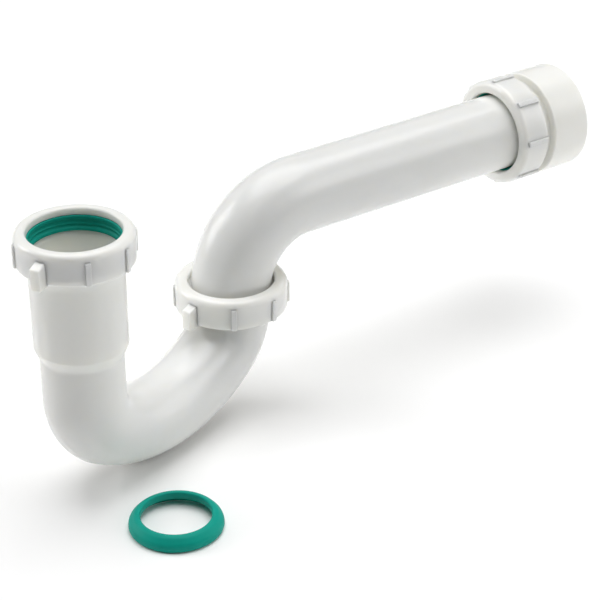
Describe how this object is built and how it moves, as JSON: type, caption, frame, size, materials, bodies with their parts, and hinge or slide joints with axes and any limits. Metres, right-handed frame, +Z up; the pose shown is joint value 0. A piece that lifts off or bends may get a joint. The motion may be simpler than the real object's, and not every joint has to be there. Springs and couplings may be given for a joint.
{
  "type": "p trap",
  "caption": "Tubular plastic sink trap: a J-shaped bend with slip-joint inlet, a swivelling trap arm on a union nut, a wall adapter and a spare reducing washer.",
  "frame": {"origin": "on the axis of the inlet socket, at the top of its parallel bore, just inside the bend's mouth", "axes": "+Z up out of the inlet, where the sink's tailpiece comes down; +X along the trap arm and out of the wall end; +Y completes the right hand"},
  "size_m": [0.3318, 0.1283, 0.1331],
  "materials": {
    "white_plastic": "moulded polypropylene, smooth and softly glossy",
    "green_seal": "moulded elastomer, satin"
  },
  "bodies": {
    "bend": {"j_bend": "white_plastic"},
    "inlet_seal": {"inlet_slip_washer": "green_seal"},
    "inlet_nut": {"inlet_slip_nut": "white_plastic"},
    "union_seal": {"union_washer": "green_seal"},
    "arm": {"trap_arm": "white_plastic"},
    "union_nut": {"union_nut": "white_plastic"},
    "adapter": {"trap_adapter": "white_plastic"},
    "outlet_seal": {"outlet_slip_washer": "green_seal"},
    "outlet_nut": {"outlet_slip_nut": "white_plastic"},
    "reducer": {"reducing_washer": "green_seal"}
  },
  "joints": [
    {"name": "inlet_nut_travel", "type": "slide", "parent": "bend", "child": "inlet_seal", "axis": [0, 0, 1], "range_m": [0, 0.0112]},
    {"name": "inlet_nut_turn", "type": "hinge", "parent": "inlet_seal", "child": "inlet_nut", "pos_m": [0, 0, 0], "axis": [0, 0, 1], "range_deg": [0, 1800]},
    {"name": "union_travel", "type": "slide", "parent": "bend", "child": "union_seal", "axis": [0, 0, 1], "range_m": [0, 0.0078]},
    {"name": "union_nut_turn", "type": "hinge", "parent": "union_seal", "child": "union_nut", "pos_m": [0.10052, 0.03363, -0.065], "axis": [0, 0, 1], "range_deg": [0, 1260]},
    {"name": "arm_swivel", "type": "hinge", "parent": "union_seal", "child": "arm", "pos_m": [0.10052, 0.03363, -0.063], "axis": [0, 0, 1], "range_deg": [-125, 160]},
    {"name": "adapter_slide", "type": "slide", "parent": "arm", "child": "adapter", "axis": [1, 0, 0], "range_m": [-0.04, 0.01]},
    {"name": "outlet_nut_travel", "type": "slide", "parent": "adapter", "child": "outlet_seal", "axis": [-1, 0, 0], "range_m": [0, 0.0112]},
    {"name": "outlet_nut_turn", "type": "hinge", "parent": "outlet_seal", "child": "outlet_nut", "pos_m": [0.26742, 0.03363, -0.0233], "axis": [-1, 0, 0], "range_deg": [0, 1800]},
    {"name": "reducer_lift", "type": "slide", "parent": "bend", "child": "reducer", "axis": [0, 0, 1], "range_m": [0, 0.04]}
  ],
  "couplings": [
    {"joint": "inlet_nut_travel", "follows": "inlet_nut_turn", "m_per_rad": 0.00035152},
    {"joint": "union_travel", "follows": "union_nut_turn", "m_per_rad": 0.00035152},
    {"joint": "outlet_nut_travel", "follows": "outlet_nut_turn", "m_per_rad": 0.00035152}
  ]
}
